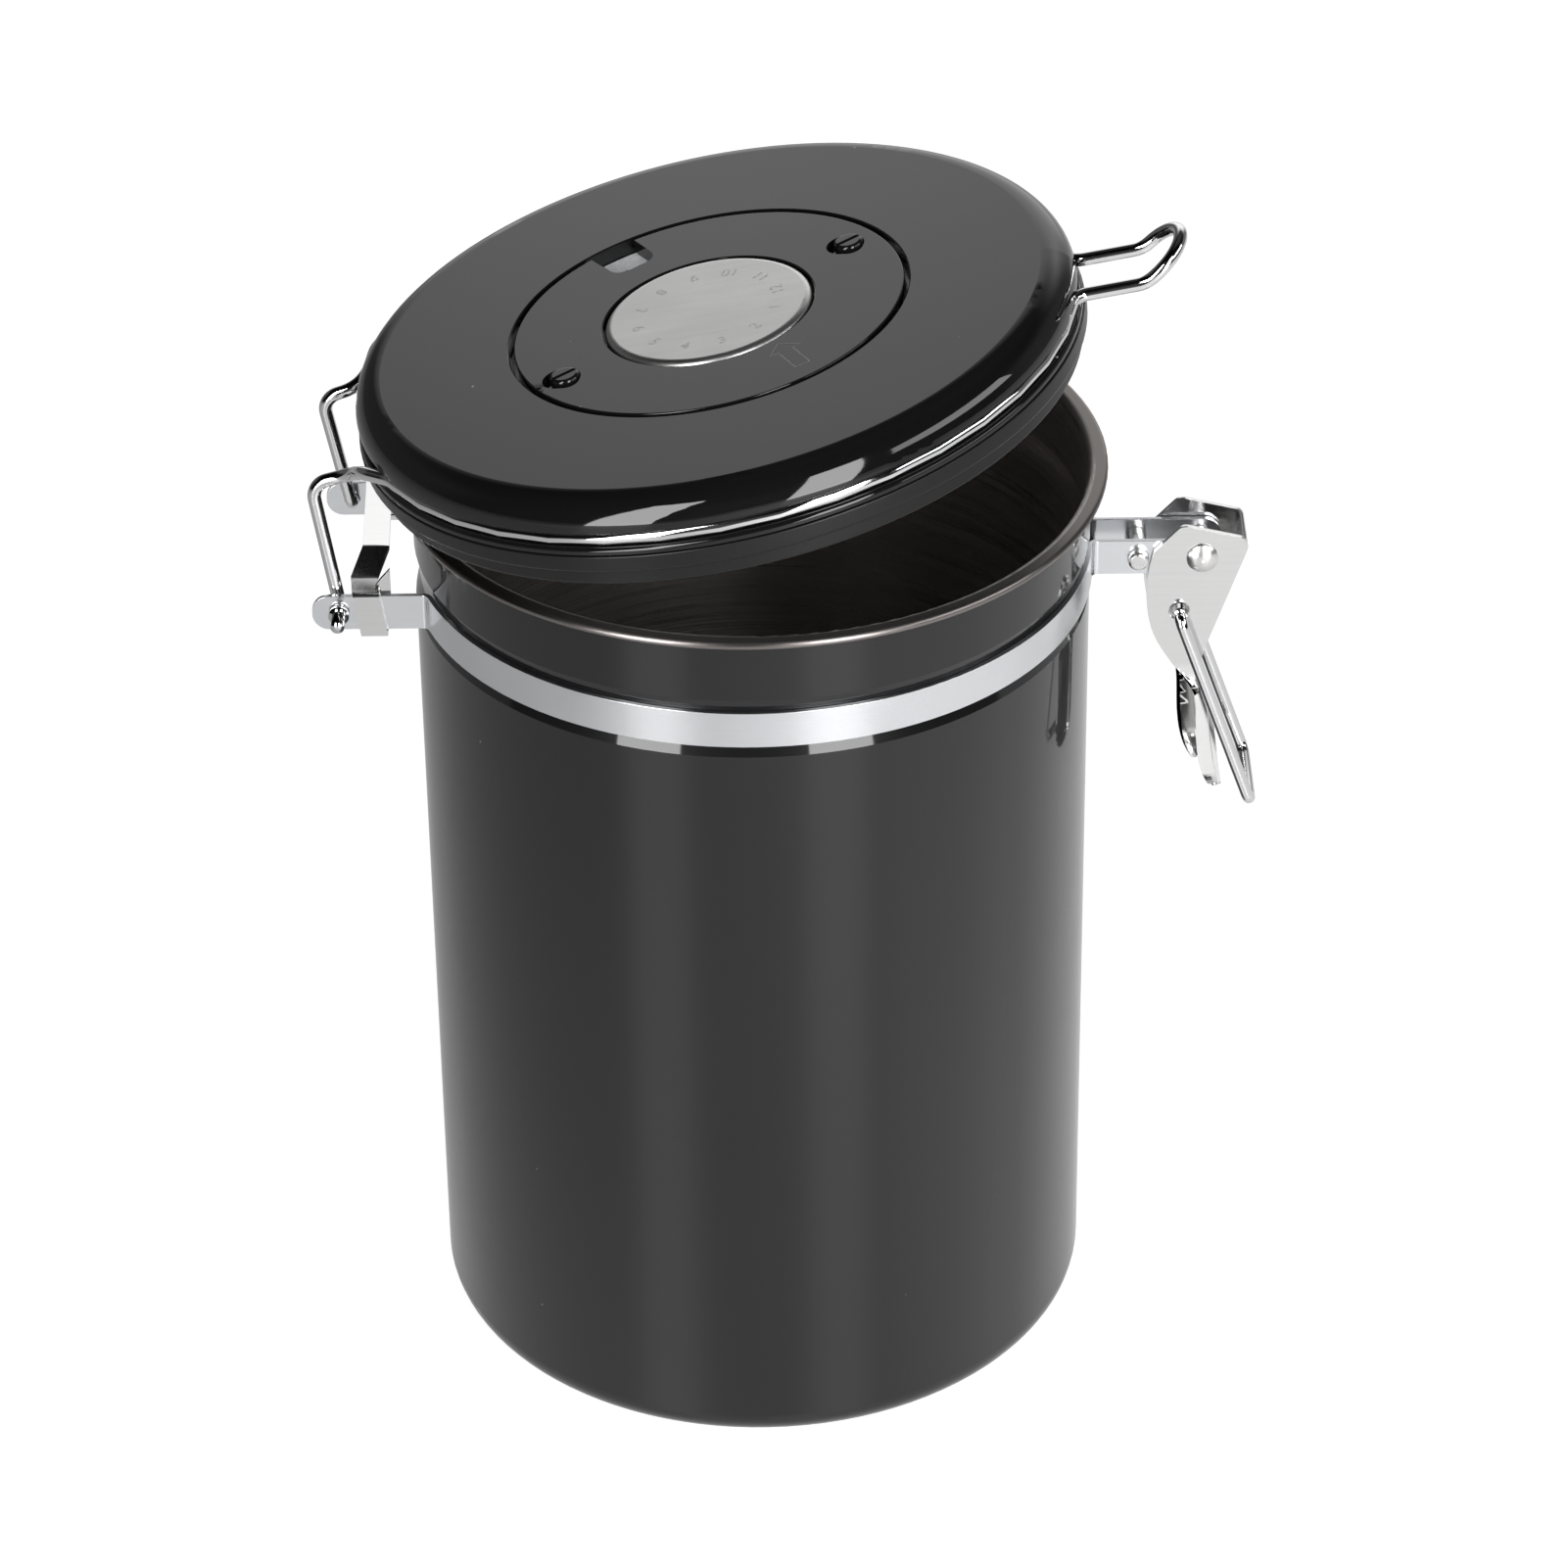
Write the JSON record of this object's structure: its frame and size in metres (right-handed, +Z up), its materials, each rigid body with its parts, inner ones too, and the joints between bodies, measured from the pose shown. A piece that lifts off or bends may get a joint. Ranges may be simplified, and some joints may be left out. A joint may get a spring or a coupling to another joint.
{
  "type": "coffee canister with valve",
  "caption": "Tall round storage canister with a wire-bail clip lid, a clamp band with hinge ears and over-centre latch, a gas release valve and a turning date dial.",
  "frame": {"origin": "centre of the canister's standing face", "axes": "+Z up along the canister axis, hinge towards -X, latch towards +X, viewer of the picture towards -Y"},
  "size_m": [0.1676, 0.1292, 0.2175],
  "materials": {
    "body_coat": "gloss",
    "band_steel": "satin",
    "bright_steel": "polished",
    "wire_chrome": "polished",
    "lid_plastic": "gloss",
    "inner_plastic": "satin",
    "seal_rubber": "matte",
    "dial_face": "satin",
    "dial_plastic": "satin",
    "disc_steel": "brushed",
    "valve_rubber": "matte"
  },
  "bodies": {
    "base": {"canister_body": "body_coat", "front_band": "band_steel", "rear_band": "band_steel", "hinge_strap": "bright_steel", "clamp_pin": "bright_steel", "latch_rivet": "bright_steel"},
    "lid": {"lid_cap": "lid_plastic", "lid_base": "lid_plastic", "inner_plate": "inner_plastic", "lid_gasket": "seal_rubber", "lid_wire": "wire_chrome", "day_dial": "dial_face", "valve_seat": "inner_plastic", "valve_grille": "inner_plastic"},
    "lever": {"latch_lever": "bright_steel"},
    "bail": {"latch_bail": "wire_chrome"},
    "ring": {"date_ring": "dial_plastic", "ring_pegs": "dial_plastic"},
    "disc": {"month_disc": "disc_steel", "disc_carrier": "dial_plastic"},
    "flap": {"valve_flap": "valve_rubber"}
  },
  "joints": [
    {"name": "lid_hinge", "type": "hinge", "parent": "base", "child": "lid", "pos_m": [-0.0723, 0, 0.15435], "axis": [0, -1, 0], "range_deg": [-11, 100]},
    {"name": "lever_pivot", "type": "hinge", "parent": "base", "child": "lever", "pos_m": [0.0797, 0, 0.15485], "axis": [0, 1, 0], "range_deg": [-120, 0]},
    {"name": "bail_pivot", "type": "hinge", "parent": "lever", "child": "bail", "pos_m": [0.0759, 0, 0.14395], "axis": [0, -1, 0], "range_deg": [-6, 162]},
    {"name": "date_ring_turn", "type": "hinge", "parent": "lid", "child": "ring", "pos_m": [-0.007, 0, 0.20255], "axis": [-0.1908, 0, 0.9816], "continuous": true},
    {"name": "month_disc_turn", "type": "hinge", "parent": "lid", "child": "disc", "pos_m": [-0.007, 0, 0.20255], "axis": [-0.1908, 0, 0.9816], "continuous": true},
    {"name": "valve_lift", "type": "slide", "parent": "lid", "child": "flap", "axis": [-0.1908, 0, 0.9816], "range_m": [0, 0.0009], "stiffness_N_per_m": 20}
  ]
}
